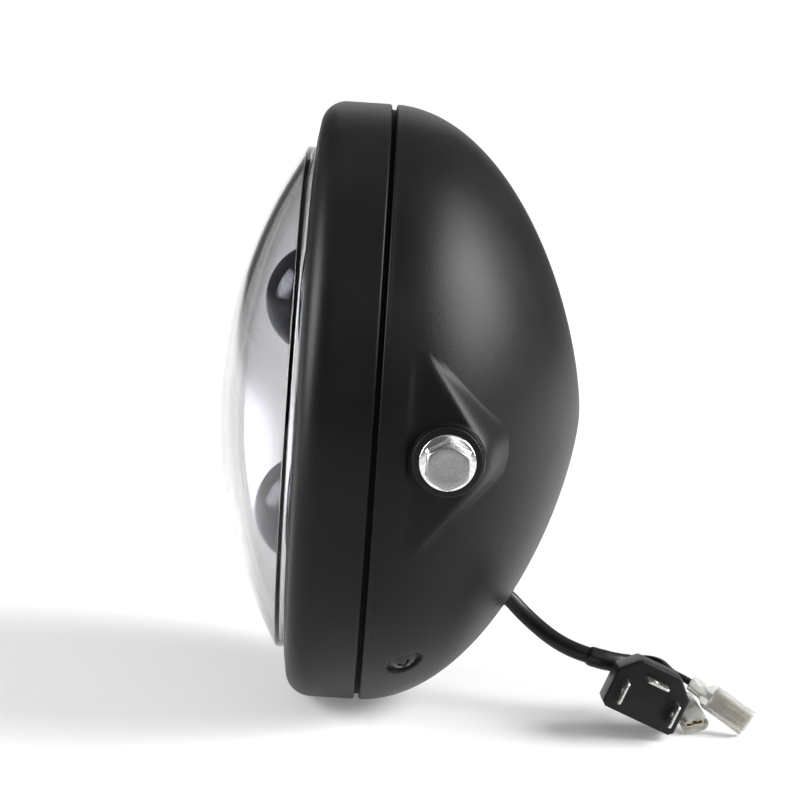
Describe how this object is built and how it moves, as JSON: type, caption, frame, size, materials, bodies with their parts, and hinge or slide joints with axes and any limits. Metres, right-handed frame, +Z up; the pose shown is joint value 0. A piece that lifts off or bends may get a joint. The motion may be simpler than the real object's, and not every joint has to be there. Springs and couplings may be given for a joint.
{
  "type": "round motorcycle headlight",
  "caption": "Round motorcycle headlight: pressed-steel bucket and trim ring, clear domed lens over twin projectors, side bolts, short lead with plug and spade connectors.",
  "frame": {"origin": "middle of the line through the two side mounting bolts, on the lamp's optical axis", "axes": "+X along the side bolts to the lamp's own left-hand bolt, which faces the picture; -Y the way the lens faces, +Y to the bucket's back; +Z up"},
  "size_m": [0.2204, 0.1852, 0.2],
  "materials": {
    "powder_black": "fine-textured satin powder coat",
    "zinc_bright": "bright zinc plate",
    "zinc_steel": "zinc-plated steel",
    "black_washer": "black matt",
    "screw_black": "black oxide",
    "clear_lens": "clear hard-coated polycarbonate",
    "light_guide": "clear acrylic",
    "board_white": "white solder mask",
    "board_green": "green solder mask",
    "bezel_black": "gloss black moulded",
    "projector_glass": "coated glass",
    "chrome_trim": "vacuum-metallised",
    "cast_aluminium": "as cast",
    "black_rubber": "matt",
    "cable_black": "semi-gloss sheath",
    "shrink_black": "shrunk sleeve",
    "plug_black": "moulded, lightly textured",
    "blade_tin": "tin-plated brass",
    "spade_clear": "milky clear vinyl",
    "terminal_tin": "tin-plated brass"
  },
  "bodies": {
    "root": {"bucket": "powder_black", "trim_ring": "powder_black", "clamp_posts": "zinc_steel", "clamp_ring": "zinc_steel", "clamp_screws": "zinc_steel", "ring_tabs": "zinc_steel", "ring_nuts": "zinc_steel", "ring_screws": "screw_black", "mount_bolt_right": "zinc_bright", "mount_bolt_left": "zinc_bright", "mount_washer_right": "black_washer", "mount_washer_left": "black_washer", "weld_nut_right": "zinc_steel", "weld_nut_left": "zinc_steel", "lens": "clear_lens", "lens_gasket": "black_rubber", "light_guide": "light_guide", "guide_board": "board_white", "bezel": "bezel_black", "lamp_housing": "cast_aluminium", "driver_board": "board_green", "upper_collar": "bezel_black", "lower_collar": "bezel_black", "upper_glass": "projector_glass", "lower_glass": "projector_glass", "upper_retainer": "chrome_trim", "lower_retainer": "chrome_trim", "upper_reflector": "chrome_trim", "lower_reflector": "chrome_trim", "upper_led_board": "board_white", "lower_led_board": "board_white", "lamp_gland": "black_rubber", "inner_lead": "cable_black", "grommet": "black_rubber", "sheath": "cable_black", "shrink_sleeve": "shrink_black", "plug_wires": "cable_black", "plug_body": "plug_black", "plug_blades": "blade_tin", "upper_spade_wire": "cable_black", "lower_spade_wire": "cable_black", "upper_spade_sleeve": "spade_clear", "lower_spade_sleeve": "spade_clear", "upper_spade_terminal": "terminal_tin", "lower_spade_terminal": "terminal_tin"}
  },
  "joints": []
}
